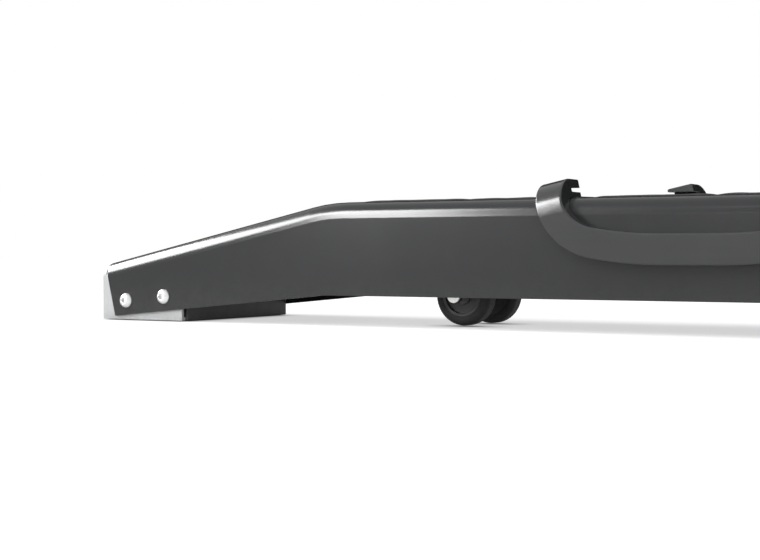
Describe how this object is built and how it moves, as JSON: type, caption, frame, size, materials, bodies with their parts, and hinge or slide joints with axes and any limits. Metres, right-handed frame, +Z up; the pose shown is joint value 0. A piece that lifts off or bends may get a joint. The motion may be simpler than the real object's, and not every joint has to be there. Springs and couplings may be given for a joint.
{
  "type": "slant board",
  "caption": "Low padded slant board: bent side beams on moulded end blocks, a hinged tilting deck with hand grips, ramps at both ends and transport wheels underneath.",
  "frame": {"origin": "on the floor, under the middle of the board", "axes": "+X along the board, -Y towards the near side, +Z up"},
  "size_m": [1.8, 0.314, 0.1883],
  "materials": {
    "frame_paint": "charcoal grey semi-gloss powder coat",
    "block_plastic": "light grey moulded plastic",
    "rubber": "black rubber",
    "zinc_steel": "bright zinc-plated steel",
    "inner_steel": "dark grey powder coat",
    "pad_cover": "black upholstery cover over foam",
    "grip_plastic": "charcoal grey satin moulded plastic",
    "tyre": "black solid tyre",
    "hub_plastic": "black moulded plastic"
  },
  "bodies": {
    "base": {"side_beam_near": "frame_paint", "side_beam_far": "frame_paint", "end_block_left": "block_plastic", "end_block_right": "block_plastic", "block_cover_left": "hub_plastic", "block_cover_right": "hub_plastic", "sole_pads": "rubber", "beam_screws": "zinc_steel", "beam_nuts": "zinc_steel", "cross_tube_left": "frame_paint", "cross_tube_right": "frame_paint", "wheel_frame_left": "frame_paint", "wheel_frame_right": "frame_paint", "wheel_axle_left": "zinc_steel", "wheel_axle_right": "zinc_steel", "axle_spacers_left": "zinc_steel", "axle_spacers_right": "zinc_steel", "ramp_panel_left": "inner_steel", "ramp_panel_right": "inner_steel", "ramp_tread_left": "rubber", "ramp_tread_right": "rubber", "hinge_base_leaf": "zinc_steel", "hinge_pin": "zinc_steel", "deck_bumpers": "rubber", "prop_rack_near": "inner_steel", "prop_rack_far": "inner_steel", "rack_base": "frame_paint"},
    "deck": {"deck_tray": "inner_steel", "deck_pad": "pad_cover", "hinge_deck_leaf": "zinc_steel", "grip_near": "grip_plastic", "grip_far": "grip_plastic", "grip_screws": "zinc_steel", "prop_bracket_near": "inner_steel", "prop_bracket_far": "inner_steel", "prop_pins": "zinc_steel"},
    "prop": {"prop_arm_near": "inner_steel", "prop_arm_far": "inner_steel", "prop_bar": "inner_steel", "prop_sleeves": "rubber"},
    "wheel_left_near": {"tyre_left_near": "tyre", "hub_left_near": "hub_plastic"},
    "wheel_left_far": {"tyre_left_far": "tyre", "hub_left_far": "hub_plastic"},
    "wheel_right_near": {"tyre_right_near": "tyre", "hub_right_near": "hub_plastic"},
    "wheel_right_far": {"tyre_right_far": "tyre", "hub_right_far": "hub_plastic"}
  },
  "joints": [
    {"name": "deck_tilt", "type": "hinge", "parent": "base", "child": "deck", "pos_m": [-0.507, 0, 0.146], "axis": [0, -1, 0], "range_deg": [0, 30]},
    {"name": "prop_fold", "type": "hinge", "parent": "deck", "child": "prop", "pos_m": [-0.12, 0, 0.118], "axis": [0, 1, 0], "range_deg": [0, 63]},
    {"name": "wheel_left_near_spin", "type": "hinge", "parent": "base", "child": "wheel_left_near", "pos_m": [-0.3465, -0.0405, 0.0406], "axis": [0, 1, 0], "continuous": true},
    {"name": "wheel_left_far_spin", "type": "hinge", "parent": "base", "child": "wheel_left_far", "pos_m": [-0.3465, 0.0405, 0.0406], "axis": [0, 1, 0], "continuous": true},
    {"name": "wheel_right_near_spin", "type": "hinge", "parent": "base", "child": "wheel_right_near", "pos_m": [0.3465, -0.0405, 0.0406], "axis": [0, 1, 0], "continuous": true},
    {"name": "wheel_right_far_spin", "type": "hinge", "parent": "base", "child": "wheel_right_far", "pos_m": [0.3465, 0.0405, 0.0406], "axis": [0, 1, 0], "continuous": true}
  ],
  "couplings": [
    {"joint": "prop_fold", "follows": "deck_tilt", "ratio": 2.098}
  ]
}
